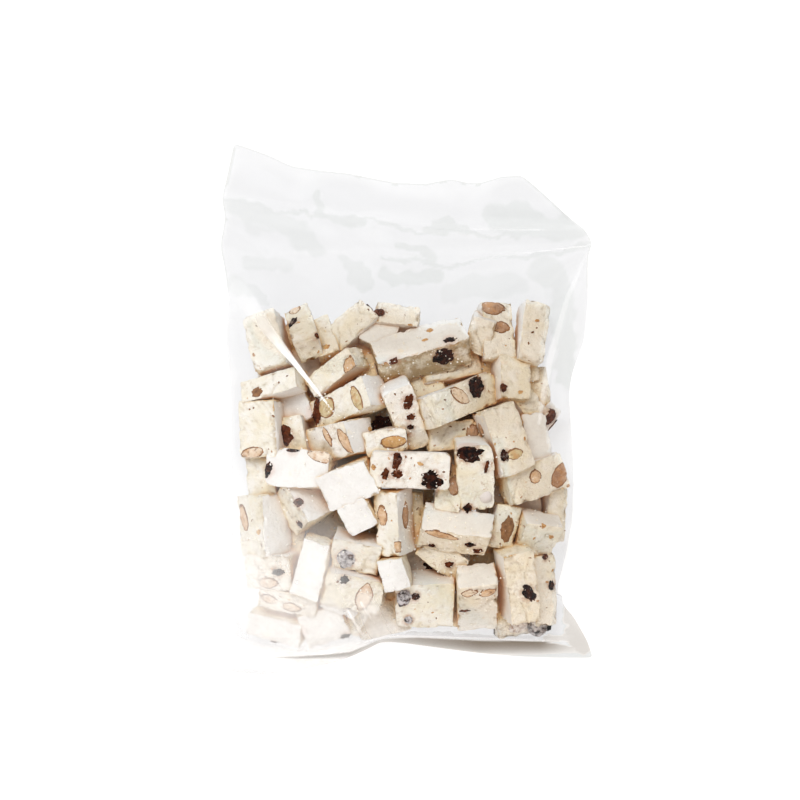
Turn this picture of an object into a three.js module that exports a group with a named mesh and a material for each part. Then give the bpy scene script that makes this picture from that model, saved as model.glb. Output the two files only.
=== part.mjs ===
// A sealed bag of clear film, filled with cut pieces of nougat and lying on its back.
// Millimetres, +Z up, +X to the right edge of the bag and +Y to its empty top.
// The origin is on the surface it lies on, under the middle of the bag's box.
// The bag is one closed solid: the front film drawn over the pieces, the back film under them.

import * as THREE from "three";

const { clamp, degToRad, lerp, smoothstep } = THREE.MathUtils;

// ---- Outline, seen from above. The sides run from the bottom seal to the top, as [y, x]. ----

const LEFT_SIDE = [
  [-162.7, -109.7], [-151, -110], [-108, -108.2], [-64, -106.9], [0, -107.9], [22, -108.7], [48, -111.5],
  [67, -109.3], [89, -112.7], [102, -115.9], [120, -112.4], [132, -114.6], [164.4, -106.3],
];
const RIGHT_SIDE = [
  [-154, 115.9], [-143, 112], [-125, 101.6], [-118, 93.5], [-110, 92], [-86, 98.2], [-64, 101.5], [-32, 102],
  [11, 99.4], [24, 101.6], [43, 109], [68, 111.4], [96, 111.7], [103, 114.4], [111, 111.3], [145.6, 71.8],
];

// The free edge at the top, the seal line under the contents and the free edge below it, as [x, y].
const TOP_EDGE = [
  [-106.3, 164.4], [-85, 157], [-71, 150.3], [-55, 148.5], [-35, 146.6], [-8, 140.5], [11, 139.5],
  [28, 142.6], [36, 140.3], [45, 140.3], [59, 145.1], [71.8, 145.6],
];
const SEAL_LINE = [
  [-110, -151.7], [-47, -151.7], [-35, -148.6], [-26, -145], [-16, -139], [20, -139.4], [45, -141.2],
  [70, -141.8], [112, -143],
];
const BOTTOM_EDGE = [
  [-109.7, -162.7], [-87, -164.4], [-62, -160.3], [-46, -157.2], [-34, -153], [-24, -148.2], [-16, -143.6],
  [-4, -144.5], [20, -147.7], [45, -151], [70, -153.2], [94, -154.1], [115.9, -154.1],
];

// ---- Heights above the surface it lies on ----

const FILM_PAIR = 1.4; // the two films where they lie together
const LIFT = 0.5; // the lowest that the empty ends come to the surface
const SIDE_SEAM = 18; // the side edges beside the contents
const SEAL = 6; // the seal line
const SEAL_FREE_EDGE = 2.4;
const HEADER = 6; // the empty top, on the whole
const HEADER_START = 98; // the y where the front film comes down on the back film
const SIDE_ROUND = 22; // how far in from a side edge the back film touches the surface
const SEAL_ROUND = 16; // how far in from the seal line it does
const CORNER_SINK = 0.6; // how much of a tilted piece's raised corner lies under the crown
const STEEPEST = 0.35; // the most that a piece follows the slope of the crown

// The crown of the contents along the bag, as [y, height].
const CROWN = [
  [-152, 8], [-139, 28], [-128, 40], [-104, 46], [-64, 50], [-20, 51], [16, 48], [42, 41], [60, 34], [74, 27],
  [98, 12],
];

// Folds and swells of the empty top: from and to as [x, y], height above the rest (less than 0 is a
// valley) and half width.
const HEADER_FOLDS = [
  { from: [-112, 127], to: [-20, 113], height: 6, halfWidth: 6 },
  { from: [-20, 113], to: [111, 110], height: 5, halfWidth: 5 },
  { from: [-70, 122], to: [-42, 92], height: -3, halfWidth: 9 },
  { from: [0, 92], to: [114, 102], height: 6, halfWidth: 5 },
  { from: [-60, 138], to: [-34, 118], height: -4, halfWidth: 7 },
  { from: [52, 122], to: [100, 116], height: -4, halfWidth: 9 },
  { from: [-106, 165], to: [-70, 142], height: 8, halfWidth: 14 },
  { from: [-8, 146], to: [40, 140], height: 7, halfWidth: 12 },
  { from: [46, 147], to: [74, 147], height: -2, halfWidth: 10 },
];

// ---- The pieces of nougat that the front film lies against ----
// Middle of the front face x, y; turn in the bag's plane; length; width; depth under the crown; then
// the roll about the length and the lean of the far end, which show a long side or an end.

const FRONT_PIECES = [
  [-87, 42, 106, 37, 22, 6, 0, 0],
  [-64, 50, 113, 36, 14, 1, 0, -35],
  [8, 44, 18, 58, 24, 0, -38, 0],
  [45, 45, 70, 23, 15, 6, 0, 30],
  [76, 48, 77, 38, 15, 8, 0, 0],
  [-85, 15, 12, 39, 15, 2, 0, 0],
  [-92, -12, 93, 35, 24, 1, 0, 0],
  [-48, 24, 30, 37, 14, 3, 0, 25],
  [-44, 4, 21, 45, 20, 0, 0, 30],
  [1, -6, 117, 42, 20, 0, 0, 25],
  [36, 6, 22, 48, 20, 0, 10, -22],
  [63, -17, 109, 42, 22, 1, 0, 0],
  [-47, -21, 13, 37, 22, 0, 0, 35],
  [-66, -36, -3, 40, 18, 3, -10, 0],
  [-37, -44, 22, 33, 23, 5, 0, 0],
  [-31, -65, 27, 19, 19, 5, 0, 0],
  [-96, -71, 95, 36, 24, 2, -42, 0],
  [-72, -59, 125, 30, 21, 7, -40, 0],
  [-60, -98, 75, 37, 19, 2, 0, 0],
  [-84, -98, 3, 30, 21, 6, 0, 0],
  [-30, -89, -10, 30, 21, 3, 15, 0],
  [-13, -69, 92, 40, 16, 1, -25, 0],
  [-7, -100, 105, 20, 17, 1, 0, 0],
  [1, -37, -3, 48, 23, -1, 0, 0],
  [42, -41, 96, 42, 23, 1, 0, 18],
  [81, -41, 17, 40, 22, 3, 0, 0],
  [32, -65, -10, 43, 21, 0, -42, 0],
  [81, -81, 80, 31, 25, 3, 0, 28],
  [43, -118, 92, 39, 24, 0, 0, 40],
  [68, -109, 106, 46, 20, 2, 0, 0],
  [8, -120, 0, 33, 30, 1, 22, 0],
  [-34, -112, -12, 37, 23, 5, 0, 0],
  [-83, -134, -8, 35, 17, 3, 0, 0],
  [-51, -133, 20, 28, 22, 1, 0, 0],
];

// ---- The bag is drawn as a grid of rows, from the free edge of the seal to the top ----

const COLUMNS = 40;
const SEAL_ROWS = 3;
const ROWS = 58;
const STRETCH_PASSES = 260; // rounds of pulling the front film tight

// The value at a place along a list of [place, value], straight between its points.
function along(points, place) {
  const next = points.findIndex(([p]) => p > place);
  if (next === 0) return points[0][1];
  if (next < 0) return points.at(-1)[1];
  const [p0, v0] = points[next - 1];
  const [p1, v1] = points[next];
  return lerp(v0, v1, (place - p0) / (p1 - p0));
}

// The plan point of a grid corner. The sides depend on y and the edges on x, so it is found in turns.
function planPoint(column, row) {
  const u = column / COLUMNS;
  let x = lerp(-112, 108, u);
  let y = 0;
  for (let turn = 0; turn < 12; turn += 1) {
    y = row < SEAL_ROWS
      ? lerp(along(BOTTOM_EDGE, x), along(SEAL_LINE, x), row / SEAL_ROWS)
      : lerp(along(SEAL_LINE, x), along(TOP_EDGE, x), (row - SEAL_ROWS) / (ROWS - SEAL_ROWS));
    x = lerp(along(LEFT_SIDE, y), along(RIGHT_SIDE, y), u);
  }
  return { x, y };
}

// Smooth rise from 0 to 1 on the way from one y to another.
const rise = (y, from, to) => smoothstep(y, from, to);

// The height of the bag's side edges along y.
function sideSeam(y) {
  const bottom = lerp(SEAL, SIDE_SEAM, rise(y, -141, -118));
  return lerp(bottom, HEADER, rise(y, 64, 112));
}

// The full, rounded form of the contents, before the pieces give it its lumps.
function crown(x, y) {
  const left = along(LEFT_SIDE, y);
  const right = along(RIGHT_SIDE, y);
  const side = clamp((2 * x - left - right) / (right - left), -1, 1);
  const seam = Math.min(sideSeam(y), along(CROWN, y));
  return lerp(seam, along(CROWN, y), Math.sqrt(1 - side ** 4));
}

// The slope of the crown between two heights taken across a piece.
const PIECE_SPAN = 16;
const slope = (low, high) => clamp((high - low) / PIECE_SPAN, -STEEPEST, STEEPEST);

// A piece's front face as a plane: its middle, its two directions and how far it reaches.
function frontFace([x, y, turn, length, width, depth, roll, lean]) {
  const half = PIECE_SPAN / 2;
  const slopeX = slope(crown(x - half, y), crown(x + half, y));
  const slopeY = slope(crown(x, y - half), crown(x, y + half));
  const outward = new THREE.Vector3(-slopeX, -slopeY, 1).normalize();
  const stand = new THREE.Quaternion().setFromUnitVectors(new THREE.Vector3(0, 0, 1), outward);
  const turned = new THREE.Quaternion().setFromEuler(
    new THREE.Euler(degToRad(roll), degToRad(-lean), degToRad(turn), "ZXY"),
  );
  const pose = stand.multiply(turned);
  const raised = (width * Math.sin(degToRad(Math.abs(roll))) + length * Math.sin(degToRad(Math.abs(lean)))) / 2;
  return {
    middle: new THREE.Vector3(x, y, crown(x, y) - depth - CORNER_SINK * raised),
    lengthwise: new THREE.Vector3(1, 0, 0).applyQuaternion(pose),
    crosswise: new THREE.Vector3(0, 1, 0).applyQuaternion(pose),
    normal: new THREE.Vector3(0, 0, 1).applyQuaternion(pose),
    halfLength: length / 2,
    halfWidth: width / 2,
  };
}

// The highest front face over a plan point, or the surface where there is none.
function pieceHeight(faces, x, y) {
  let highest = 0;
  for (const face of faces) {
    const { middle, normal } = face;
    const z = middle.z - ((x - middle.x) * normal.x + (y - middle.y) * normal.y) / normal.z;
    const offset = new THREE.Vector3(x, y, z).sub(middle);
    const inside = Math.abs(offset.dot(face.lengthwise)) <= face.halfLength
      && Math.abs(offset.dot(face.crosswise)) <= face.halfWidth;
    if (inside) highest = Math.max(highest, z);
  }
  return highest;
}

// The folded form of the empty top.
function headerHeight(x, y) {
  let z = lerp(HEADER, HEADER + 3, rise(y, 112, 160));
  for (const { from, to, height, halfWidth } of HEADER_FOLDS) {
    const start = new THREE.Vector2(...from);
    const run = new THREE.Vector2(...to).sub(start);
    const point = new THREE.Vector2(x, y).sub(start);
    const share = clamp(point.dot(run) / run.lengthSq(), 0, 1);
    const away = point.distanceTo(run.multiplyScalar(share)) / halfWidth;
    z += height * Math.exp(-away * away);
  }
  return Math.max(z, LIFT + FILM_PAIR);
}

// The seal strip: low and wavy, and highest beside the notch in the bottom edge.
function sealHeight(x, share) {
  const notch = Math.exp(-(((x + 16) / 12) ** 2));
  const wave = Math.sin(x / 17) + Math.sin(x / 9.5);
  return lerp(SEAL_FREE_EDGE, SEAL, share) + 2.5 * notch + 0.25 * wave;
}

// The front film: fixed at the seal, the sides and the empty top, and pulled tight over the pieces.
function frontFilm(grid) {
  const faces = FRONT_PIECES.map(frontFace);
  const held = new Set();
  const under = new Map();
  grid.forEach((point, index) => {
    const { column, row, x, y } = point;
    under.set(point, Math.max(pieceHeight(faces, x, y), 0.72 * crown(x, y)));
    if (row <= SEAL_ROWS) {
      point.front = sealHeight(x, row / SEAL_ROWS);
      held.add(index);
    } else if (y >= HEADER_START) {
      point.front = headerHeight(x, y);
      held.add(index);
    } else if (column === 0 || column === COLUMNS) {
      point.front = sideSeam(y) + FILM_PAIR / 2;
      held.add(index);
    } else {
      point.front = under.get(point);
    }
  });
  const beside = [-1, 1, -(COLUMNS + 1), COLUMNS + 1];
  for (let pass = 0; pass < STRETCH_PASSES; pass += 1) {
    grid.forEach((point, index) => {
      if (held.has(index)) return;
      const mean = beside.reduce((sum, step) => sum + grid[index + step].front, 0) / beside.length;
      point.front = Math.max(mean, under.get(point));
    });
  }
}

// The back film: flat on the surface under the contents, rounded up to the side edges, and lying
// against the front film at the seal and the empty top.
function backFilm({ x, y, row, front }) {
  const under = front - FILM_PAIR;
  if (row <= SEAL_ROWS) return under;
  const toSide = Math.min(x - along(LEFT_SIDE, y), along(RIGHT_SIDE, y) - x);
  const side = (sideSeam(y) - FILM_PAIR / 2) * (1 - clamp(toSide / SIDE_ROUND, 0, 1)) ** 2.2;
  const toSeal = y - along(SEAL_LINE, x);
  const seal = (sealHeight(x, 1) - FILM_PAIR) * (1 - rise(toSeal, 0, SEAL_ROUND));
  const header = headerHeight(x, Math.max(y, HEADER_START)) - FILM_PAIR;
  const top = header * rise(y, HEADER_START - SIDE_ROUND, HEADER_START + 8);
  return clamp(Math.max(side, seal, top), 0, under);
}

// Joins the two films round their edges into one closed skin.
function closedSkin(grid) {
  const across = COLUMNS + 1;
  const count = grid.length;
  const positions = [
    ...grid.flatMap(({ x, y, front }) => [x, y, front]),
    ...grid.flatMap(({ x, y, back }) => [x, y, back]),
  ];
  const faces = [];
  const quad = (a, b, c, d) => faces.push(a, b, c, a, c, d);
  for (let row = 0; row < ROWS; row += 1) {
    for (let column = 0; column < COLUMNS; column += 1) {
      const a = row * across + column;
      quad(a, a + 1, a + 1 + across, a + across);
      quad(count + a, count + a + across, count + a + 1 + across, count + a + 1);
    }
  }
  const rim = (a, b) => quad(a, count + a, count + b, b);
  for (let column = 0; column < COLUMNS; column += 1) {
    rim(column, column + 1);
    rim(ROWS * across + column + 1, ROWS * across + column);
  }
  for (let row = 0; row < ROWS; row += 1) {
    rim((row + 1) * across, row * across);
    rim(row * across + COLUMNS, (row + 1) * across + COLUMNS);
  }
  const skin = new THREE.BufferGeometry();
  skin.setAttribute("position", new THREE.Float32BufferAttribute(positions, 3));
  skin.setIndex(faces);
  skin.computeVertexNormals();
  return skin;
}

function bagSkin() {
  const grid = [];
  for (let row = 0; row <= ROWS; row += 1) {
    for (let column = 0; column <= COLUMNS; column += 1) {
      grid.push({ column, row, ...planPoint(column, row) });
    }
  }
  frontFilm(grid);
  for (const point of grid) point.back = backFilm(point);
  return closedSkin(grid);
}

const film = new THREE.MeshStandardMaterial({ name: "film", color: 0xf1eee6, roughness: 0.15, metalness: 0 });
const bag = new THREE.Mesh(bagSkin(), film);
bag.name = "bag";

const sealedBag = new THREE.Group();
sealedBag.add(bag);

export default sealedBag;
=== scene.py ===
import math
import random
from itertools import product

import bmesh
import bpy
import numpy as np
from mathutils import Matrix, Vector, noise
from mathutils.bvhtree import BVHTree


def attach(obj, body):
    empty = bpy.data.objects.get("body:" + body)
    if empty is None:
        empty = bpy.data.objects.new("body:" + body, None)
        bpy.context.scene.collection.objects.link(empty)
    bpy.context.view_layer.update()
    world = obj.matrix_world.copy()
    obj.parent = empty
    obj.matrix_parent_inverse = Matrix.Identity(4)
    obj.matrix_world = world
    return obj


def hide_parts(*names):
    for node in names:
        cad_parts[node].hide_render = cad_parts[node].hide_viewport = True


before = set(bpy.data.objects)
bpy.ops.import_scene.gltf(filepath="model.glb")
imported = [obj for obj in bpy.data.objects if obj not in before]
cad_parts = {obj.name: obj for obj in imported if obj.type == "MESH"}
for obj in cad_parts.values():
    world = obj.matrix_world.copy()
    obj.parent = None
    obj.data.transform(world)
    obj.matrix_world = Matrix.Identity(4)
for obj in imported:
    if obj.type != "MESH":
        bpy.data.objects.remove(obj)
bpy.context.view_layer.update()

# ---------------------------------------------------------------------------------------------------
# The sealed bag as packed. Its front film shows how high the contents stand, so the nougat is hung
# from it: each piece lies a stated depth under the film and leans as the film does there.

MM = 0.001
DOWN = Vector((0, 0, -1))
OVER_THE_BAG = 0.2  # where the rays that feel for a height start
LEAN_FELT = (14 * MM, 26 * MM)  # how far round a point the film's lean is felt
SEAM_HEIGHT = 14 * MM  # lower than this the film runs down to its side seams, which says nothing
STEEPEST = 0.35  # the most that a piece follows the slope of the film

bag_form = bmesh.new()
bag_form.from_mesh(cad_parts["bag"].data)
bmesh.ops.remove_doubles(bag_form, verts=bag_form.verts, dist=1e-6)
bag_tree = BVHTree.FromBMesh(bag_form)


def film_height(x, y):
    """Height of the front film over a plan point, or None beside the bag."""
    hit = bag_tree.ray_cast(Vector((x, y, OVER_THE_BAG)), DOWN)[0]
    return hit.z if hit else None


def film_slope(x, y):
    """How the film leans over the length of a piece, as a level rise in x and in y."""
    samples = []
    for reach in LEAN_FELT:
        for step in range(8):
            turn = step * math.tau / 8
            dx, dy = reach * math.cos(turn), reach * math.sin(turn)
            height = film_height(x + dx, y + dy)
            if height and height > SEAM_HEIGHT:
                samples.append((dx, dy, 1, height))
    table = np.array(samples)
    slope_x, slope_y, _ = np.linalg.lstsq(table[:, :3], table[:, 3], rcond=None)[0]
    return [max(-STEEPEST, min(STEEPEST, s)) for s in (slope_x, slope_y)]


# ---------------------------------------------------------------------------------------------------
# The nougat: a slab set between two sheets of rice paper, cut by hand into uneven blocks. The two
# papered faces of a block lie opposite each other, and the other four are cut.
# x, y of the front face, turn in the bag's plane, length, width, thickness (mm), roll about the
# length and lean of the far end (degrees), depth under the film, and which faces are papered:
# F the front and back, S the long sides, E the ends; t is torn at its edges, r has round corners and b
# has painted shade on its cut faces, darker towards its back.

NOUGAT_PIECES = [
    (-87, 42, 106, 37, 22, 18, 0, 0, 3, "S"),
    (-66, 54, 110, 34, 16, 18, 0, -30, 1, "S"),
    (-52, 44, 108, 25, 15, 17, 0, 0, 10, "S"),
    (-33, 51, 43, 33, 17, 17, 0, 0, 8, "S"),
    (-8, 57, -9, 27, 13, 17, 0, 0, 5, "S"),
    (-19, 47, -20, 23, 18, 16, 0, 0, 5, "F"),
    (8, 44, 18, 58, 24, 21, -30, 0, 1, "Ftb"),
    (45, 45, 70, 23, 15, 20, 0, 30, 3, "E"),
    (54, 48, 93, 37, 20, 18, 0, 0, 9, "S"),
    (77, 48, 80, 38, 17, 17, 0, 0, 3, "S"),
    (64, 18, 88, 27, 21, 18, 0, 0, 10, "S"),
    (-85, 15, 12, 39, 15, 18, 0, 0, 1, "S"),
    (-92, -12, 93, 35, 24, 20, 0, 0, 1, "S"),
    (-72, 3, 112, 27, 18, 16, 0, 0, 16, "F"),
    (-48, 24, 30, 37, 14, 18, 0, 25, 1, "S"),
    (-40, 3, 21, 45, 21, 21, 0, 28, 1, "E"),
    (-13, 23, -35, 34, 17, 16, 0, 0, 17, "S"),
    (1, -6, 112, 42, 18, 18, 0, 25, 1, "E"),
    (29, 30, 12, 37, 18, 16, 0, 0, 20, "S"),
    (15, 14, 100, 27, 21, 17, 0, 0, 17, "S"),
    (33, 6, 22, 52, 20, 20, 10, -18, 1, "S"),
    (46, -11, 40, 24, 15, 16, 0, 0, 16, "S"),
    (61, -18, 109, 42, 22, 18, 0, 0, 1, "S"),
    (82, -17, 100, 33, 16, 17, 0, 0, 8, "F"),
    (75, 0, 130, 22, 16, 16, 0, 0, 13, "S"),
    (88, -3, 50, 21, 13, 16, 0, 0, 9, "F"),
    (-47, -21, 13, 37, 22, 21, 0, 35, 1, "E"),
    (-66, -36, -3, 41, 23, 18, -10, 0, 1, "Fr"),
    (-73, -18, 100, 24, 18, 16, 0, 0, 15, "S"),
    (-88, -41, 95, 24, 19, 17, 0, 0, 6, "S"),
    (-37, -44, 22, 33, 23, 18, 0, 0, 1, "F"),
    (-31, -65, 27, 19, 19, 22, 0, 0, 1, "F"),
    (-72, -59, 125, 30, 21, 23, -40, 0, 1, "S"),
    (-94, -70, 95, 38, 25, 21, -32, 0, 1, "S"),
    (-72, -76, 85, 27, 15, 16, 0, 0, 12, "S"),
    (-60, -98, 75, 37, 19, 18, 0, 0, 1, "F"),
    (-84, -100, 3, 31, 21, 18, 0, 0, 1, "S"),
    (-30, -89, -10, 30, 21, 18, 15, 0, 1, "S"),
    (-13, -69, 92, 40, 16, 21, -25, 0, 1, "S"),
    (-7, -100, 105, 20, 17, 18, 0, 0, 1, "F"),
    (1, -37, -3, 49, 24, 20, 0, 0, 1, "Sr"),
    (-11, -21, 10, 27, 16, 17, 0, 0, 9, "S"),
    (42, -41, 96, 42, 23, 20, 0, 18, 1, "Er"),
    (27, -45, 80, 28, 17, 17, 0, 0, 12, "S"),
    (81, -41, 17, 40, 22, 18, 0, 0, 1, "S"),
    (32, -65, -10, 43, 21, 20, -42, 0, 1, "F"),
    (61, -73, 75, 27, 16, 17, 0, 0, 15, "S"),
    (20, -92, -38, 31, 18, 17, 0, 0, 12, "S"),
    (81, -81, 80, 31, 25, 18, 0, 28, 1, "E"),
    (43, -122, 92, 41, 24, 21, 0, 22, 1, "E"),
    (69, -109, 100, 46, 20, 18, 0, 0, 1, "S"),
    (72, -134, 5, 36, 16, 17, 0, 0, 1, "S"),
    (87, -113, 95, 45, 16, 17, 0, 0, 5, "S"),
    (10, -120, 0, 36, 31, 20, 2, 0, 1, "S"),
    (-34, -112, -12, 37, 23, 18, 0, 0, 1, "Sr"),
    (-40, -118, -22, 24, 11, 15, 0, 0, 2, "F"),
    (-72, -116, -8, 37, 14, 17, 0, 0, 3, "S"),
    (-83, -134, -8, 35, 17, 18, 0, 0, 1, "F"),
    (-51, -133, 20, 28, 22, 18, 0, 0, 1, "F"),
    (-31, -128, 65, 23, 14, 17, 0, 0, 3, "S"),
    (-19, -126, 80, 30, 13, 17, 0, 0, 5, "S"),
    (3, -70, 88, 36, 16, 16, 0, 0, 16, "S"),
    (29, -13, 5, 30, 18, 17, 0, 0, 16, "S"),
    (94, -66, 90, 36, 12, 17, 0, 0, 4, "S"),
]
PAPER_AXIS = {"F": 2, "S": 1, "E": 0}
TOUCHING = 4  # pieces that lie less deep than this (mm) hold their place against the film
ON_THE_BACK = 30  # the depth (mm) written for the pieces that lie on the back film
ROW_LEVEL, GAP_LEVEL = 8.6 * MM, 7.8 * MM  # how high the middles of such pieces lie
BEDDED = 1.0 * MM  # how far the rough faces of two pieces may bed into each other
NO_ROOM = 11 * MM  # a piece that crosses another deeper than this has no room
FAR_APART = 70 * MM  # pieces whose middles are farther apart than this can't meet
THINNEST = 8 * MM  # how thin a piece may be cut so that it stays off the back film
OFF_THE_BACK = 1.6 * MM  # how far the lowest corners stay off the surface that the bag lies on
NEAR_CORNER = 0.75  # how far out to its corners a face is measured against the film


def turned(degrees, axis):
    """A turn about an axis."""
    return Matrix.Rotation(math.radians(degrees), 4, axis)


def lie_under_film(x, y, turn, roll, lean, depth, half_length, half_width):
    """The pose of a front face that hangs under the film, measured where it comes closest to it."""
    slope_x, slope_y = film_slope(x, y)
    outward = Vector((-slope_x, -slope_y, 1)).normalized()
    stand = Vector((0, 0, 1)).rotation_difference(outward).to_matrix().to_4x4()
    lying = turned(turn, "Z") @ turned(roll, "X") @ turned(-lean, "Y")
    pose = Matrix.Translation((x, y, 0)) @ stand @ lying
    rooms = []
    for i, j in ((0, 0), (1, 1), (1, -1), (-1, 1), (-1, -1)):
        spot = pose @ Vector((i * NEAR_CORNER * half_length, j * NEAR_CORNER * half_width, 0))
        rooms.append((film_height(spot.x, spot.y) or 1) - spot.z)
    return Matrix.Translation((0, 0, min(rooms) - depth)) @ pose


def new_block(pose, size, paper, depth):
    """A block: the pose of its middle, where it was first laid, its size, papered faces and depth."""
    return {"pose": pose, "laid": pose.translation.copy(), "size": size, "paper": paper, "depth": depth}


blocks = []
for x, y, turn, length, width, thickness, roll, lean, depth, paper in NOUGAT_PIECES:
    size = Vector((length, width, thickness)) * MM
    pose = lie_under_film(x * MM, y * MM, turn, roll, lean, depth * MM, size.x / 2, size.y / 2)
    pose = pose @ Matrix.Translation((0, 0, -size.z / 2))
    blocks.append(new_block(pose, size, paper, depth))

# The pieces that lie on the back film, in rough rows.
under_draw = random.Random(21)
for row in range(6):
    for column in range(4):
        x = -72 + 45 * column + under_draw.uniform(-4, 4)
        y = -122 + 30 * row + under_draw.uniform(-3, 3)
        turn = under_draw.uniform(-16, 16)
        size = Vector((under_draw.uniform(36, 42), under_draw.uniform(21, 24), 14)) * MM
        pose = Matrix.Translation((x * MM, y * MM, ROW_LEVEL)) @ turned(turn, "Z")
        blocks.append(new_block(pose, size, "FSE"[under_draw.randrange(3)], ON_THE_BACK))


def overlaps(middles, turns, halves, first, second):
    """For each pair of blocks, the shortest way that parts them, or nothing if they don't meet."""
    own, other = turns[first], turns[second]
    crossed = np.cross(own[:, :, None, :], other[:, None, :, :]).reshape(len(first), 9, 3)
    axes = np.concatenate([own, other, crossed], axis=1)
    lengths = np.linalg.norm(axes, axis=2)
    axes = axes / np.maximum(lengths, 1e-9)[:, :, None]
    reach = (np.abs(axes @ own.transpose(0, 2, 1)) * halves[first][:, None, :]).sum(2)
    reach += (np.abs(axes @ other.transpose(0, 2, 1)) * halves[second][:, None, :]).sum(2)
    apart = np.einsum("pad,pd->pa", axes, middles[second] - middles[first])
    depth = np.where(lengths > 0.1, reach - np.abs(apart), 1.0)
    least = depth.argmin(1)
    row = np.arange(len(first))
    return axes[row, least] * (np.sign(apart[row, least]) * np.maximum(depth[row, least], 0))[:, None]


def settle(blocks, rounds):
    """Moves blocks apart and into the bag, and says how deep each one still crosses another."""
    middles = np.array([b["pose"].translation for b in blocks])
    laid = np.array([b["laid"] for b in blocks])
    turns = np.array([b["pose"].to_3x3().transposed() for b in blocks])
    halves = np.array([b["size"] for b in blocks]) / 2
    depths = np.array([b["depth"] for b in blocks])
    holds, on_back = depths < TOUCHING, depths == ON_THE_BACK
    yields = np.where(holds, 0.1, 1.0)
    sinks = np.where(on_back, 0.15, 3 + depths) * MM  # how far each may go down, and aside
    strays = np.where(holds, 1.0, np.where(on_back, 4.0, 2.0)) * MM
    lower = laid - np.stack([strays, strays, sinks], axis=1)
    upper = laid + np.stack([strays, strays, 0 * sinks], axis=1)
    corners = np.array(list(product((-1, 1), repeat=3)))
    first, second = np.triu_indices(len(blocks), 1)
    near = np.linalg.norm(middles[first] - middles[second], axis=1) < FAR_APART
    first, second = first[near], second[near]
    share = (yields[second] / (yields[first] + yields[second]))[:, None]
    for passing in range(rounds):
        move = np.zeros_like(middles)
        if passing < rounds - 8:  # the last few rounds only bring the blocks back into the bag
            push = overlaps(middles, turns, halves - BEDDED, first, second)
            np.add.at(move, second, 0.4 * push * share)
            np.add.at(move, first, -0.4 * push * (1 - share))
        for index, middle in enumerate(middles):
            worst = 0
            for corner in (corners * halves[index]) @ turns[index] + middle:
                skin, normal, _, _ = bag_tree.find_nearest(Vector(corner))
                out = (Vector(corner) - skin).dot(normal) + BEDDED
                if out > worst:
                    worst = out
                    back_in = 0.5 * out * np.array(normal)
            if worst:
                move[index] -= back_in
        middles += move
        middles = np.clip(middles, lower, upper)
    crossing = np.zeros(len(blocks))
    push = np.linalg.norm(overlaps(middles, turns, halves - BEDDED, first, second), axis=1)
    np.maximum.at(crossing, second, push)
    np.maximum.at(crossing, first, push)
    for block, middle in zip(blocks, middles):
        block["pose"].translation = middle
    return crossing


# What lies on the back film and finds no room there is left out.
crossing = settle(blocks, 60)
blocks = [b for b, deep in zip(blocks, crossing) if b["depth"] < ON_THE_BACK or deep < NO_ROOM]
settle(blocks, 40)
for block in blocks:  # a piece that would reach through the back film is cut thinner
    pose, size = block["pose"], block["size"]
    lowest = min((pose @ Vector((i * size.x / 2, j * size.y / 2, -size.z / 2))).z
                 for i, j in product((-1, 1), repeat=2))
    over = (OFF_THE_BACK - lowest) / pose.to_3x3().col[2].z
    if over > 0:
        over = min(over, size.z - THINNEST)
        block["pose"] = pose @ Matrix.Translation((0, 0, over / 2))
        size.z -= over

# Where the surface under the bag would show between the pieces, one more piece lies behind them.
# Above each y, how far left and right such pieces lie, and how high the film has to stand (mm).
BEHIND = [(45, 0, 0, 0), (20, -80, 78, 21), (-20, -99, 80, 21), (-118, -99, 90, 21), (-999, -99, 90, 16)]
CORNER_ROOM = 14.5 * MM  # how high the film has to stand over the corners of such a piece


def covered(x, y):
    """Whether a piece lies over a plan point, felt at a few heights."""
    for block in blocks:
        for level in (block["pose"].translation.z, 6 * MM, 10 * MM, 14 * MM):
            inside = block["pose"].inverted() @ Vector((x, y, level))
            if all(abs(c) < s / 2 - 1 * MM for c, s in zip(inside, block["size"])):
                return True
    return False


for row in range(34):
    for column in range(36):
        x, y = (-98 + 5.5 * column) * MM, (-140 + 6 * row) * MM
        left, right, high = next(limits for above, *limits in BEHIND if y > above * MM)
        if not left * MM < x < right * MM or (film_height(x, y) or 0) < high * MM or covered(x, y):
            continue
        size = Vector((under_draw.uniform(28, 38), under_draw.uniform(18, 22), 12)) * MM
        turn = under_draw.uniform(0, math.pi)
        pose = Matrix.Translation((x, y, GAP_LEVEL)) @ Matrix.Rotation(turn, 4, "Z")
        ends = [pose @ Vector((i * size.x / 2, j * size.y / 2, 0)) for i, j in product((-1, 1), repeat=2)]
        if min(film_height(end.x, end.y) or 0 for end in ends) > CORNER_ROOM:
            blocks.append(new_block(pose, size, "S", ON_THE_BACK))

CUT, PAPER = 0, 1  # the block's two material slots
UNEVEN = 1.5 * MM  # how far off its place the knife leaves a corner
EDGE = 0.35 * MM  # how far the cut edges are rounded by handling
CRUMBLY = 2.2 * MM  # how far from an edge it crumbles away
LOOKS_UP = 0.12  # a face whose outward way rises more than this may show
GRID = 1.25 * MM  # the spacing of points on the faces that show; twice that on the block's others
COARSE_GRID = 2.6 * MM  # and on the blocks behind


def pitted(place):
    """How deep a point lies in one of the small burst bubbles of the whipped sugar, from 0 to 1."""
    distances, middles = noise.voronoi(place)
    chosen = noise.noise(middles[0] * 5) > 0.05
    return max(0.0, 1 - distances[0] / 0.33) ** 0.5 if chosen else 0.0


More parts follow.
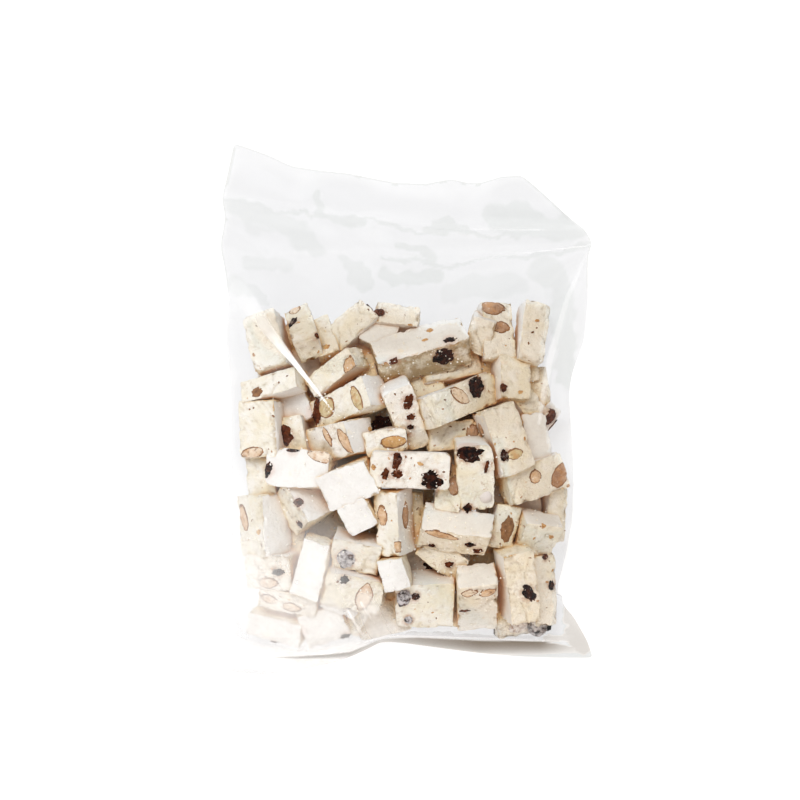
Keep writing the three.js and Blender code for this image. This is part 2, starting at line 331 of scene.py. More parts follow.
def cut_block(block, seed, step, shown):
    """The mesh of one hand-cut block."""
    draw = random.Random(seed)
    size, pose, paper = block["size"], block["pose"], block["paper"]
    form = bmesh.new()
    tone = form.verts.layers.float.new("tone")
    # painted shade on the cut faces: deeper in burst bubbles, cracks and torn edges, and on pieces marked b
    pit = form.verts.layers.float.new("pit")
    bmesh.ops.create_cube(form, size=1)
    bmesh.ops.scale(form, verts=form.verts, vec=size)
    for v in form.verts:
        v.co += Vector([draw.uniform(-1, 1) * UNEVEN for _ in range(3)])
    form.normal_update()
    for face in form.faces:
        axis = max(range(3), key=lambda i: abs(face.normal[i]))
        face.material_index = PAPER if axis == PAPER_AXIS[paper[0]] else CUT
    bmesh.ops.bevel(form, geom=form.edges[:], offset=EDGE, segments=1, profile=0.5,
                    affect="EDGES", material=-1)
    for axis in range(3):
        long_edges = [e for e in form.edges if e.calc_length() > 2 * step
                      and abs((e.verts[1].co - e.verts[0].co).normalized()[axis]) > 0.8]
        bmesh.ops.subdivide_edges(form, edges=long_edges, cuts=round(size[axis] / step) - 1,
                                  use_grid_fill=True)
    form.normal_update()
    if shown:
        lie = pose.to_3x3()
        fine = [e for e in form.edges if any((lie @ f.normal).z > LOOKS_UP for f in e.link_faces)]
        bmesh.ops.subdivide_edges(form, edges=fine, cuts=1, use_grid_fill=True)
        form.normal_update()
    spot = Vector([draw.uniform(0, 9) for _ in range(3)])
    piece_tone = draw.random()
    papered = {v for f in form.faces if f.material_index == PAPER for v in f.verts}
    flaky = 2.2 if "t" in paper else 1.0
    squareness = 6 if "r" in paper else 24
    for v in form.verts:
        corner = sum(abs(2 * v.co[i] / size[i]) ** squareness for i in (0, 1)) ** (1 / squareness)
        if corner > 1:  # its corners are knocked off
            v.co.xy /= corner
        to_edge = sorted(size[i] / 2 - abs(v.co[i]) for i in range(3))[1]
        at_edge = max(0, 1 - to_edge / CRUMBLY)
        out = noise.noise(v.co * 42 + spot) * 1.1 * MM  # broad bulges, then what is finer
        if v in papered:
            flakes = noise.noise(v.co * 120 + spot) * 0.35 + noise.noise(v.co * 330 + spot) * 0.12
            out += flakes * flaky * MM
        else:
            out += noise.noise(v.co * 120 + spot) * 0.4 * MM
            out += noise.noise(v.co * 340 + spot) * 0.24 * MM
            hollow = pitted(v.co * 270 + spot) * 0.8
            vein = abs(noise.noise(v.co * 75 - spot)) / 0.05
            if vein < 1 and noise.noise(v.co * 40 + 2 * spot) > 0:  # a crack
                hollow += (1 - vein) * 0.9
            out -= hollow * MM
            # painted shade on the cut faces of a piece marked b, darker towards its back
            underside_shade = 0.8 + 1.2 * (0.5 - v.co.z / size.z) if "b" in paper else 0
            v[pit] = 0.6 * hollow + underside_shade
        torn = at_edge * min(0, noise.noise(v.co * 190 - spot) + 0.1) * 5 * flaky * MM
        torn += at_edge * min(0, noise.noise(v.co * 430 + 2 * spot)) * 1.6 * MM
        v.co += v.normal * (out + torn)
        v[tone] = piece_tone
        v[pit] = min(1, v[pit] - 0.5 * torn / MM)
    bmesh.ops.transform(form, matrix=pose, verts=form.verts)
    for v in form.verts:  # it lies flat where it meets the back film
        v.co.z = max(v.co.z, OFF_THE_BACK)
    return form


CRISP = math.radians(33)  # an edge that turns more than this is a crisp one


def made_mesh(name, form):
    """The mesh of a bmesh."""
    mesh = bpy.data.meshes.new(name)
    form.to_mesh(mesh)
    return mesh


def add_form(whole, form):
    """Adds what one bmesh holds to another."""
    part = made_mesh("part", form)
    whole.from_mesh(part)
    bpy.data.meshes.remove(part)


def joined(forms):
    """One bmesh of many, with the layers that the materials read."""
    whole = bmesh.new()
    for layer in ("tone", "pit", "shade", "stain"):
        whole.verts.layers.float.new(layer)
    for form in forms:
        add_form(whole, form)
        form.free()
    for v in whole.verts:  # nothing reaches through the back film
        v.co.z = max(v.co.z, 0.4 * MM)
    for face in whole.faces:
        face.smooth = True
    for edge in whole.edges:
        edge.smooth = edge.calc_face_angle(0) < CRISP
    return whole


cut_up, paper_up, behind = [], [], []
for number, block in enumerate(blocks):
    if number >= len(NOUGAT_PIECES):
        behind.append(cut_block(block, number, COARSE_GRID, False))
    elif block["paper"].startswith("F"):
        paper_up.append(cut_block(block, number, 2 * GRID, True))
    else:
        cut_up.append(cut_block(block, number, 2 * GRID, True))
nougat_forms = {"nougat_cut_side_up": joined(cut_up), "nougat_paper_side_up": joined(paper_up),
                "nougat_behind": joined(behind)}

nougat_all = bmesh.new()
for form in nougat_forms.values():
    add_form(nougat_all, form)
nougat_tree = BVHTree.FromBMesh(nougat_all)

GOLDEN_TURN = 2.4  # radians from each place to the next, where places are spread evenly
NOOK = 20 * MM  # how near a neighbour has to be to keep the light off


def ways(number):
    """Directions spread evenly over a ball."""
    for i in range(number):
        height = 1 - (2 * i + 1) / number
        aside = math.sqrt(1 - height ** 2)
        yield Vector((math.cos(i * GOLDEN_TURN) * aside, math.sin(i * GOLDEN_TURN) * aside, height))


FEELERS = list(ways(11))


def feel_nooks(form):
    """Writes how closed in each point lies, felt by a few rays on the side that the surface faces."""
    shade = form.verts.layers.float["shade"]
    form.normal_update()
    for v in form.verts:
        start = v.co + v.normal * 0.5 * MM
        closed = 0
        for feeler in FEELERS:
            hit = nougat_tree.ray_cast(start, feeler + v.normal * 1.1, NOOK)
            if hit[0]:
                closed += 1 - 0.5 * hit[3] / NOOK
        v[shade] = closed / len(FEELERS)
    for _ in range(2):
        evened = [(v[shade] + sum(e.other_vert(v)[shade] for e in v.link_edges)) / (1 + len(v.link_edges))
                  for v in form.verts]
        for v, value in zip(form.verts, evened):
            v[shade] = value


for form in nougat_forms.values():
    feel_nooks(form)


def grain_group():
    """The uneven grain that all the foods and the film share: a noise drawn to a mask."""
    group = bpy.data.node_groups.new("grain", "ShaderNodeTree")
    group.interface.new_socket("Position", in_out="INPUT", socket_type="NodeSocketVector")
    for name in ("Scale", "Detail", "Roughness", "From", "To"):
        group.interface.new_socket(name, in_out="INPUT", socket_type="NodeSocketFloat")
    group.interface.new_socket("Mask", in_out="OUTPUT", socket_type="NodeSocketFloat")
    inside = group.nodes.new("NodeGroupInput")
    texture = group.nodes.new("ShaderNodeTexNoise")
    drawn = group.nodes.new("ShaderNodeMapRange")
    outside = group.nodes.new("NodeGroupOutput")
    for source, target in (("Position", texture.inputs["Vector"]), ("Scale", texture.inputs["Scale"]),
                           ("Detail", texture.inputs["Detail"]), ("Roughness", texture.inputs["Roughness"]),
                           ("From", drawn.inputs["From Min"]), ("To", drawn.inputs["From Max"])):
        group.links.new(inside.outputs[source], target)
    group.links.new(texture.outputs["Fac"], drawn.inputs["Value"])
    group.links.new(drawn.outputs["Result"], outside.inputs["Mask"])
    return group


GRAIN = grain_group()


class Finish:
    """A material laid on in coats over a body colour, with short ways to add its nodes."""

    def __init__(self, name, **fixed):
        self.material = bpy.data.materials.new(name)
        self.material.use_nodes = True
        self.nodes = self.material.node_tree.nodes
        self.links = self.material.node_tree.links
        self.shader = self.nodes["Principled BSDF"]
        for socket, value in fixed.items():
            self.shader.inputs[socket.replace("_", " ")].default_value = value
        self.place = self.nodes.new("ShaderNodeTexCoord").outputs["Object"]
        self.body = None

    def add(self, kind, **settings):
        node = self.nodes.new(kind)
        for key, value in settings.items():
            setattr(node, key, value)
        return node

    def feed(self, socket, value):
        """Links a node's output to a socket, or sets the socket to a plain value or colour."""
        if isinstance(value, bpy.types.NodeSocket):
            self.links.new(value, socket)
        else:
            socket.default_value = (*value, 1) if isinstance(value, tuple) and len(value) == 3 else value

    def painted(self, name):
        """What was written to the mesh's points under this name."""
        return self.add("ShaderNodeAttribute", attribute_name=name).outputs["Fac"]

    def grain(self, scale, low=0.35, high=0.65, detail=3.0, rough=0.6):
        """An uneven mask: 0 where the grain's noise is low, 1 where it is high."""
        node = self.add("ShaderNodeGroup", node_tree=GRAIN)
        for socket, value in (("Position", self.place), ("Scale", scale), ("Detail", detail),
                              ("Roughness", rough), ("From", low), ("To", high)):
            self.feed(node.inputs[socket], value)
        return node.outputs["Mask"]

    def flecks(self, scale, size, share):
        """A mask of round flecks: a cell pattern's spots under a size, in a share of the cells."""
        cells = self.add("ShaderNodeTexVoronoi")
        self.feed(cells.inputs["Vector"], self.place)
        self.feed(cells.inputs["Scale"], scale)
        near = self.ramp(cells.outputs["Distance"], (size * 0.6, 1.0), (size, 0.0))
        chosen = self.ramp(cells.outputs["Color"], (1 - share - 0.01, 0.0), (1 - share, 1.0))
        return self.both(near, chosen)

    def ramp(self, source, *stops):
        node = self.add("ShaderNodeValToRGB")
        self.feed(node.inputs["Fac"], source)
        ramp = node.color_ramp
        while len(ramp.elements) < len(stops):
            ramp.elements.new(0.5)
        for element, (position, colour) in zip(ramp.elements, stops):
            element.position = position
            element.color = (*colour, 1) if isinstance(colour, tuple) else (colour, colour, colour, 1)
        return node.outputs["Color"]

    def math(self, operation, *values):
        node = self.add("ShaderNodeMath", operation=operation)
        for socket, value in zip(node.inputs, values):
            self.feed(socket, value)
        return node.outputs[0]

    def both(self, first, second):
        """One mask let through by another, or weakened by a number."""
        return self.math("MULTIPLY", first, second)

    def mix(self, factor, first, second, blend="MIX"):
        node = self.add("ShaderNodeMix", data_type="RGBA", blend_type=blend)
        sockets = {s.identifier: s for s in node.inputs}
        self.feed(sockets["Factor_Float"], factor)
        self.feed(sockets["A_Color"], first)
        self.feed(sockets["B_Color"], second)
        return next(s for s in node.outputs if s.identifier == "Result_Color")

    def coat(self, colour, mask, *limits):
        """Lays a colour over the body where the mask and its limits, masks or numbers, let it."""
        for limit in limits:
            mask = self.both(mask, limit)
        self.body = self.mix(mask, self.body, colour)

    def done(self, height, distance, strength):
        """The material, with the body for its colour and its surface raised by a height."""
        self.feed(self.shader.inputs["Base Color"], self.body)
        node = self.add("ShaderNodeBump")
        for socket, value in (("Strength", strength), ("Distance", distance), ("Height", height)):
            self.feed(node.inputs[socket], value)
        self.feed(self.shader.inputs["Normal"], node.outputs["Normal"])
        return self.material


def in_nooks(finish, near, deep, deepest):
    """Makes the body warmer and darker where neighbouring pieces keep the light off."""
    in_the_open = (0.14, (1.0, 1.0, 1.0))
    tint = finish.ramp(finish.painted("shade"), in_the_open, (0.40, near), (0.60, deep), (0.82, deepest))
    finish.body = finish.mix(1.0, finish.body, tint, "MULTIPLY")


def cut_nougat():
    """Whipped sugar, cream and ivory, with burst bubbles, cracks and brown crumbs of nut, and painted
    shade in its hollows and torn edges, on the cut faces of pieces marked b and in the nooks between them.
    """
    finish = Finish("cut_nougat", Roughness=0.6)
    finish.body = finish.ramp(finish.painted("tone"), (0.0, (0.88, 0.83, 0.70)), (0.5, (0.90, 0.86, 0.76)),
                              (1.0, (0.90, 0.86, 0.81)))
    finish.coat((0.94, 0.915, 0.86), finish.grain(130, 0.40, 0.66, 4))
    finish.coat((0.88, 0.77, 0.53), finish.grain(48, 0.50, 0.70, 3), 0.45)
    finish.coat((0.70, 0.51, 0.32), finish.grain(230, 0.57, 0.70, 5, 0.65), 0.35)
    finish.coat((0.36, 0.19, 0.09), finish.grain(160, 0.67, 0.73, 6, 0.7), 0.6)
    finish.coat((0.33, 0.18, 0.09), finish.flecks(300, 0.22, 0.08), 0.75)
    finish.coat((0.72, 0.40, 0.12), finish.flecks(380, 0.28, 0.06), 0.8)
    # painted shade, browner in the hollows, cracks and torn edges, and on the cut faces of pieces marked b
    finish.coat((0.42, 0.29, 0.14), finish.painted("pit"), finish.grain(150, 0.28, 0.54, 3), 0.88)
    cracks = finish.ramp(finish.grain(75, 0.2, 0.8, 4), (0.475, 0.0), (0.50, 1.0), (0.525, 0.0))
    finish.coat((0.45, 0.27, 0.14), cracks, finish.grain(38, 0.50, 0.62, 2), 0.6)
    finish.coat((0.46, 0.20, 0.08), finish.painted("stain"), finish.grain(240, 0.38, 0.70, 4))
    in_nooks(finish, (0.97, 0.90, 0.78), (0.94, 0.76, 0.52), (0.94, 0.56, 0.27))
    large_pores = finish.both(finish.grain(300, 0.2, 0.8, 3), 1.4)
    pores = finish.math("ADD", finish.grain(900, 0.2, 0.8, 5, 0.7), large_pores)
    return finish.done(pores, 0.0009, 0.8)


def rice_paper():
    """Dull white wafer paper, yellowed where sugar soaked it and stained by the berries."""
    finish = Finish("rice_paper", Roughness=0.7)
    finish.body = finish.mix(finish.grain(80, 0.42, 0.72, 4), (0.785, 0.78, 0.765), (0.725, 0.705, 0.685))
    finish.coat((0.81, 0.805, 0.795), finish.grain(520, 0.45, 0.70, 4), 0.6)
    finish.coat((0.84, 0.72, 0.50), finish.grain(120, 0.62, 0.72, 5), 0.4)
    finish.coat((0.60, 0.48, 0.26), finish.flecks(260, 0.22, 0.08), 0.4)
    finish.coat((0.62, 0.38, 0.28), finish.painted("stain"), 0.4)
    in_nooks(finish, (0.96, 0.91, 0.87), (0.90, 0.76, 0.65), (0.86, 0.52, 0.30))
    return finish.done(finish.grain(420, 0.2, 0.8, 4), 0.0007, 0.7)


CUT_FINISH, PAPER_FINISH = cut_nougat(), rice_paper()


def new_piece(name, form, slot, *materials):
    """Makes the finished object of a bmesh, riding on the bag."""
    mesh = made_mesh(name, form)
    piece = bpy.data.objects.new(name, mesh)
    bpy.context.scene.collection.objects.link(piece)
    for material in materials:
        mesh.materials.append(material)
    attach(piece, "root")
    return piece


nougat_pieces = []
for name, form in nougat_forms.items():
    slot = "rice_paper" if name == "nougat_paper_side_up" else "nougat"
    piece = new_piece(name, form, slot, CUT_FINISH, PAPER_FINISH)
    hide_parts("bag")
    nougat_pieces.append(piece)

# ---------------------------------------------------------------------------------------------------
# Almonds, whole in the slab and cut through with it. A cut one shows its kernel, pale to amber, in a
# thin brown skin, one that broke out of the cut shows the skin alone, and some are frosted with sugar.
# x, y, length, width (mm), turn of its length (degrees), and what shows of it.

ALMONDS = [
    (-69, 62, 7, 7, 0, "pale"),
    (-34, 27, 12, 9, 80, "tan"),
    (-91, 11, 7, 6, 0, "skin"),
    (-94, -26, 14, 7, 15, "pale"),
    (-30, 7, 16, 7, -55, "green"),
    (-49, 2, 13, 11, 50, "green"),
    (-51, -27, 19, 8, -20, "pale"),
    (-48, -16, 12, 4, -60, "tan"),
    (-37, -19, 17, 7, -50, "tan"),
    (-100, -66, 16, 7, -65, "tan"),
    (-15, -63, 12, 6, 90, "tan"),
    (-1, -63, 15, 7, 85, "brown"),
    (-5, -82, 9, 6, 0, "tan"),
    (32, 9, 14, 7, -30, "pale"),
    (65, -26, 10, 6, 15, "green"),
    (45, -12, 8, 6, 90, "brown"),
    (29, -45, 12, 7, 80, "brown"),
    (78, -40, 8, 7, 90, "tan"),
    (94, -39, 17, 9, 60, "brown"),
    (21, -75, 20, 5, -18, "tan"),
    (38, -110, 9, 6, 10, "pale"),
    (49, -110, 10, 6, 20, "tan"),
    (70, -134, 14, 8, 10, "frosted"),
    (61, -72, 16, 8, 80, "skin"),
    (-26, -113, 17, 9, 75, "pale"),
    (-84, -105, 12, 6, 0, "pale"),
    (-84, -115, 10, 5, -20, "pale"),
    (-70, -120, 11, 5, -10, "pale"),
    (53, 63, 15, 8, 0, "brown"),
    (58, 51, 10, 7, 0, "brown"),
    (-8, -19, 15, 7, 5, "amber"),
    (40, -13, 9, 7, 80, "brown"),
]
ALMOND_TONE = {"pale": 0.0, "green": 0.25, "tan": 0.5, "brown": 0.75, "amber": 1.0,
               "skin": 0.0, "frosted": 1.0}
# Bits of candied peel, amber too: x, y, length, width, turn.
PEEL = [
    (14, 49, 4, 3, 0), (11, 43, 4, 2, 30), (2, 52, 3, 2, 0), (-90, -74, 4, 3, 20), (8, -32, 4, 2, -20),
    (-20, -34, 3, 3, 0), (83, -70, 3, 3, 0), (88, -77, 3, 3, 60), (69, 11, 3, 2, 0), (-49, 39, 4, 3, 10),
    (80, 55, 3, 2, 0), (-22, -12, 6, 3, -60), (-58, 32, 3, 2, 0), (-70, 39, 4, 3, 80),
]
KERNEL, SKIN = 0, 1  # the almonds' two material slots
SKIN_SHOWS = 0.9 * MM  # how much wider the skin is than its kernel
OFF_MIDDLE = 0.55 * MM  # about twice as far as a kernel lies off the middle of its skin
FACE_STEP = 1.7 * MM  # a deeper step than this under something set in is the face's edge
CHIPS = 330
CHIP_KINDS = ((SKIN, 0.0), (SKIN, 0.0), (KERNEL, 1.0), (KERNEL, 0.66))  # slot and tone


def set_in(x, y, turn):
    """The pose of something set in the nougat under a plan point (mm), its z out of the face."""
    above = Vector((x * MM, y * MM, OVER_THE_BAG))
    for step in range(40):  # the nearest nougat, if there is none right under the point
        round_it = Vector((math.cos(step * GOLDEN_TURN), math.sin(step * GOLDEN_TURN), 0))
        hit, normal, _, _ = nougat_tree.ray_cast(above + round_it * step * 0.3 * MM, DOWN)
        if hit:
            break
    normals = []
    for step in range(6):  # the face's own lean, evened over its crumbs
        aside = Vector((math.cos(step), math.sin(step), 0)) * 2.5 * MM
        place, lean, _, _ = nougat_tree.ray_cast(hit + aside - DOWN * 0.02, DOWN)
        if place and (place - hit).length < 4 * MM:
            normals.append(lean)
    normal = sum(normals, normal).normalized()
    flat = Vector((math.cos(math.radians(turn)), math.sin(math.radians(turn)), 0))
    along = flat - normal * flat.dot(normal)
    if along.length < 0.1:
        along = normal.orthogonal()
    along.normalize()
    basis = Matrix((along, normal.cross(along), normal)).transposed().to_4x4()
    return Matrix.Translation(hit) @ basis


def hidden_places(count, seed):
    """Places on cut faces that look down or lie under others, each with the longest that fits there."""
    draw = random.Random(seed)
    places = []
    while len(places) < count:
        block = draw.choice(blocks)
        axis = draw.choice([i for i in range(3) if i != PAPER_AXIS[block["paper"][0]]])
        side = draw.choice((-1, 1))
        room = 0.6 * min(s for i, s in enumerate(block["size"]) if i != axis)
        spot = Vector([draw.uniform(-0.2, 0.2) * s for s in block["size"]])
        spot[axis] = side * block["size"][axis] / 2
        outward = Vector((0, 0, 0))
        outward[axis] = side
        outward = block["pose"].to_3x3() @ outward
        turn = draw.uniform(0, math.tau)
        place = block["pose"] @ spot
        unseen = outward.z < -0.05 or nougat_tree.ray_cast(place + outward * 1.2 * MM, -DOWN)[0]
        if outward.z < 0.3 and unseen:
            stand = outward.to_track_quat("Z", "Y").to_matrix().to_4x4()
            places.append((Matrix.Translation(place) @ stand @ Matrix.Rotation(turn, 4, "Z"), room))
    return places


def laid_in(form, pose):
    """Lays each point of a form on the nougat under it, drawn in by steps where it reaches over an edge."""
    middle, out = pose.translation, pose.to_3x3().col[2]
    for v in form.verts:
        height = (v.co - middle).dot(out)
        aside = v.co - middle - out * height
        level = 0
        for _ in range(8):
            place = nougat_tree.ray_cast(middle + aside + out * 4 * MM, -out, 9 * MM)[0]
            if place and abs((place - middle).dot(out)) < FACE_STEP:
                level = (place - middle).dot(out)
                break
            aside *= 0.88
        v.co = middle + aside + out * (level + height)


def nut_lobe(pose, length, width, height, slot, fineness, wrinkle, tone_value):
    """One flat almond form, round at one end and pointed at the other."""
    form = bmesh.new()
    tone = form.verts.layers.float.new("tone")
    bmesh.ops.create_icosphere(form, subdivisions=fineness, radius=1)
    spot = pose.translation * 90
    for v in form.verts:
        x, y, z = v.co
        narrow = 1 - 0.28 * max(0, x) ** 1.6
        ripple = 1 + wrinkle * noise.noise(v.co * 2.4 + spot) + 0.4 * wrinkle * noise.noise(v.co * 7 - spot)
        ridges = 1 + wrinkle * 0.8 * noise.noise(Vector((x * 1.2, y * 6, z * 6)) + spot)
        v.co = Vector((x * length / 2 * ripple, y * narrow * width / 2 * ripple, z * height * ridges))
        v[tone] = tone_value
    for face in form.faces:
        face.material_index = slot
    bmesh.ops.transform(form, matrix=pose, verts=form.verts)
    return form


def almond(pose, length, width, shows, fineness):
    """The one or two lobes of an almond as it shows in a face."""
    tone_value = ALMOND_TONE[shows]
    if shows in ("skin", "frosted"):
        return [nut_lobe(pose, length, width, 1.2 * MM, SKIN, fineness, 0.3, tone_value)]
    skin = nut_lobe(pose, length + SKIN_SHOWS, width + SKIN_SHOWS, 0.40 * MM, SKIN, fineness, 0.15, 0.0)
    spot = pose.translation * 300
    aside = Vector((noise.noise(spot), noise.noise(spot + Vector((9, -2, -8))), 0)) * OFF_MIDDLE
    pose = pose @ Matrix.Translation(aside)
    kernel = nut_lobe(pose, length, width, 0.62 * MM, KERNEL, fineness, 0.12, tone_value)
    return [skin, kernel]


def almond_kernel():
    """Cut kernel, pale, greenish, tan, brown or amber by its tone."""
    finish = Finish("almond_kernel", Roughness=0.5)
    tones = (0.0, 0.25, 0.5, 0.75, 1.0)
    dark = ((0.70, 0.55, 0.40), (0.54, 0.41, 0.21), (0.60, 0.38, 0.22),
            (0.34, 0.18, 0.10), (0.48, 0.24, 0.07))
    light = ((0.84, 0.75, 0.64), (0.71, 0.61, 0.40), (0.76, 0.58, 0.41),
             (0.54, 0.35, 0.23), (0.68, 0.43, 0.19))
    own = finish.painted("tone")
    finish.body = finish.ramp(own, *zip(tones, dark))
    finish.coat(finish.ramp(own, *zip(tones, light)), finish.grain(190, 0.35, 0.65, 4))
    finish.coat((0.56, 0.27, 0.09), finish.grain(240, 0.50, 0.66, 4), 0.55)
    finish.coat((0.26, 0.12, 0.05), finish.grain(420, 0.54, 0.68, 5), 0.75)
    finish.coat((0.86, 0.82, 0.76), finish.grain(600, 0.60, 0.70, 5), 0.6)
    return finish.done(finish.grain(1100, 0.2, 0.8, 4), 0.0005, 0.8)


def almond_skin():
    """Brown skin, frosted with sugar where its tone says."""
    finish = Finish("almond_skin", Roughness=0.55)
    finish.body = finish.mix(finish.grain(420, 0.3, 0.7, 5), (0.11, 0.042, 0.018), (0.38, 0.19, 0.08))
    finish.coat((0.80, 0.76, 0.74), finish.grain(500, 0.30, 0.56, 5), finish.painted("tone"))
    return finish.done(finish.grain(700, 0.2, 0.8, 4), 0.0006, 0.8)


almond_forms = []
for x, y, length, width, turn, shows in ALMONDS:
    pose = set_in(x, y, turn)
    lobes = almond(pose, length * MM, width * MM, shows, 4)
    for lobe in lobes:
        laid_in(lobe, pose)
    almond_forms += lobes
for x, y, length, width, turn in PEEL:
    pose = set_in(x, y, turn)
    bit = nut_lobe(pose, length * MM, width * MM, 0.6 * MM, KERNEL, 3, 0.5, 1.0)
    laid_in(bit, pose)
    almond_forms.append(bit)

# The knife scattered chips of the nuts over the cut faces.
nougat_all.faces.ensure_lookup_table()
chip_draw = random.Random(31)
for _ in range(CHIPS):
    start = Vector((chip_draw.uniform(-105, 100) * MM, chip_draw.uniform(-140, 62) * MM, OVER_THE_BAG))
    place, outward, index, _ = nougat_tree.ray_cast(start, DOWN)
    turn, length = chip_draw.uniform(0, math.tau), chip_draw.uniform(0.6, 1.6) ** 2 * MM
    slot, tone_value = chip_draw.choice(CHIP_KINDS)
    if place and nougat_all.faces[index].material_index == CUT:
        stand = outward.to_track_quat("Z", "Y").to_matrix().to_4x4() @ Matrix.Rotation(turn, 4, "Z")
        pose, width = Matrix.Translation(place) @ stand, length * chip_draw.uniform(0.3, 0.8)
        almond_forms.append(nut_lobe(pose, length, width, 0.3 * MM, slot, 2, 0.6, tone_value))
unseen_draw = random.Random(5)
for pose, room in hidden_places(120, 11):
    length, width = min(room, unseen_draw.uniform(10, 21) * MM), unseen_draw.uniform(5, 8) * MM
    almond_forms += almond(pose, length, width, unseen_draw.choice(("pale", "tan", "brown")), 2)
almonds = new_piece("almonds", joined(almond_forms), "almond", almond_kernel(), almond_skin())

# ---------------------------------------------------------------------------------------------------
# Dried cranberries, folded into the slab: dark, wrinkled and a little glossy where the knife went
# through them, some redder and some dusted with sugar, by their kind. Their juice stains the nougat
# round them.
# x, y, length, width (mm), turn (degrees), and dark, red, frosted or, where one lies whole on the
# pieces, whole for a red one and loose for a frosted one.

CRANBERRIES = [
    (-17, 60, 7, 5, 0, "whole"),
    (-70, 54, 8, 4, 80, "dark"),
    (-54, 45, 8, 3, -65, "red"),
    (22, 33, 13, 11, 0, "dark"),
    (26, 43, 8, 4, 20, "dark"),
    (-8, 30, 8, 5, 90, "red"),
    (-55, -1, 17, 5, 85, "red"),
    (-69, -24, 7, 3, 0, "dark"),
    (-75, -16, 12, 10, 80, "red"),
    (-85, -36, 10, 6, 70, "dark"),
    (-66, -56, 7, 5, 30, "red"),
    (-65, -69, 5, 4, 0, "dark"),
    (-6, -29, 12, 5, 85, "red"),
    (-13, -38, 7, 4, 70, "red"),
    (-6, -38, 6, 5, 0, "red"),
    (15, -42, 12, 11, 0, "dark"),
    (1, 5, 10, 5, 85, "red"),
    (2, -4, 5, 4, 0, "red"),
    (2, -10, 4, 3, 0, "dark"),
    (42, 15, 12, 10, 90, "dark"),
    (58, 14, 6, 5, 0, "red"),
    (59, -27, 7, 5, 90, "dark"),
    (36, -25, 18, 9, -10, "dark"),
    (37, -59, 5, 5, 0, "dark"),
    (48, -34, 8, 2, 80, "red"),
    (38, -81, 6, 4, 0, "dark"),
    (43, -85, 6, 4, 0, "red"),
    (15, -82, 4, 3, 0, "dark"),
    (14, -96, 7, 5, 0, "dark"),
    (26, -94, 5, 4, 0, "red"),
    (-2, -114, 11, 8, 80, "frosted"),
    (5, -113, 5, 4, 0, "dark"),
    (1, -128, 5, 5, 0, "frosted"),
    (35, -122, 6, 2, 0, "red"),
    (74, -111, 12, 6, -55, "dark"),
    (81, -135, 12, 11, 0, "loose"),
    (85, -90, 4, 3, 0, "red"),
    (89, -108, 6, 4, 90, "dark"),
    (87, -4, 12, 8, 55, "whole"),
    (-38, -102, 5, 5, 0, "dark"),
    (-37, -90, 12, 10, 80, "frosted"),
    (-78, -98, 7, 4, 0, "dark"),
    (-13, -9, 18, 12, 10, "red"),
    (-37, -139, 7, 4, 0, "dark"),
]
# Tone, how far it stands out of the face (mm), and how deep its folds are.
BERRY_KINDS = {"dark": (0.0, 0.8, 1.0), "red": (0.5, 0.8, 1.0), "whole": (0.5, 3.0, 0.35),
               "frosted": (1.0, 1.4, 0.7), "loose": (1.0, 5.0, 0.22)}
BLEED = 2.6 * MM  # how far the juice stains the nougat past a berry's edge


def wrinkled_berry(pose, length, width, height, fineness, tone_value, crumpled=1.0):
    """One cranberry, crumpled into more or less deep folds."""
    form = bmesh.new()
    tone = form.verts.layers.float.new("tone")
    bmesh.ops.create_icosphere(form, subdivisions=fineness, radius=1)
    spot = pose.translation * 90
    for v in form.verts:
        fold = 0.46 * noise.noise(v.co * 1.5 + spot) + 0.24 * noise.noise(v.co * 3.4 + spot)
        fold = 1 + crumpled * (fold + 0.09 * noise.noise(v.co * 8 - spot))
        v.co = Vector((v.co.x * length / 2, v.co.y * width / 2, v.co.z * height)) * fold
        v[tone] = tone_value
    bmesh.ops.transform(form, matrix=pose, verts=form.verts)
    return form


def cranberry_flesh():
    """Dark moist flesh, redder or dusted with sugar by its tone."""
    finish = Finish("cranberry_flesh", Roughness=0.2, Specular_IOR_Level=0.18)
    finish.body = finish.mix(finish.grain(260, 0.44, 0.72, 4),
                             (0.005, 0.001, 0.0006), (0.070, 0.015, 0.005))
    finish.coat((0.25, 0.085, 0.03), finish.grain(420, 0.56, 0.72, 4), 0.5)
    # pale grey patches on every berry
    finish.coat((0.56, 0.50, 0.45), finish.grain(190, 0.60, 0.70, 5, 0.7), 0.7)
    redness = finish.ramp(finish.painted("tone"), (0.0, 0.0), (0.5, 0.75), (1.0, 0.0))
    finish.coat((0.19, 0.045, 0.012), redness, finish.grain(380, 0.30, 0.66, 4))
    dusted = finish.ramp(finish.painted("tone"), (0.5, 0.0), (1.0, 0.85))
    finish.coat((0.78, 0.75, 0.77), finish.grain(330, 0.38, 0.58, 6), dusted)
    finish.coat((0.80, 0.70, 0.60), finish.flecks(1000, 0.4, 0.10), 0.85)
    return finish.done(finish.grain(600, 0.2, 0.8, 4), 0.0012, 1.0)


berry_forms, berry_places = [], []
for x, y, length, width, turn, kind in CRANBERRIES:
    pose = set_in(x, y, turn)
    tone_value, proud, crumpled = BERRY_KINDS[kind]
    berry = wrinkled_berry(pose, length * MM, width * MM, proud * MM, 4, tone_value, crumpled)
    if kind in ("loose", "whole"):
        lift = Vector((0, 0, 2.5 * MM if kind == "loose" else 0))
        standing = Matrix.Translation(pose.translation + lift) @ turned(turn, "Z")
        bmesh.ops.transform(berry, matrix=standing @ pose.inverted(), verts=berry.verts)
    else:
        laid_in(berry, pose)
    berry_forms.append(berry)
    berry_places.append((pose.translation, (length + width) / 4 * MM))
for pose, room in hidden_places(110, 17):
    length, width = min(room, unseen_draw.uniform(5, 12) * MM), unseen_draw.uniform(4, 7) * MM
    berry_forms.append(wrinkled_berry(pose, length, width, 0.4 * MM, 2, unseen_draw.choice((0.0, 0.5))))
    berry_places.append((pose.translation, (length + width) / 4))
berries = new_piece("cranberries", joined(berry_forms), "cranberry", cranberry_flesh())

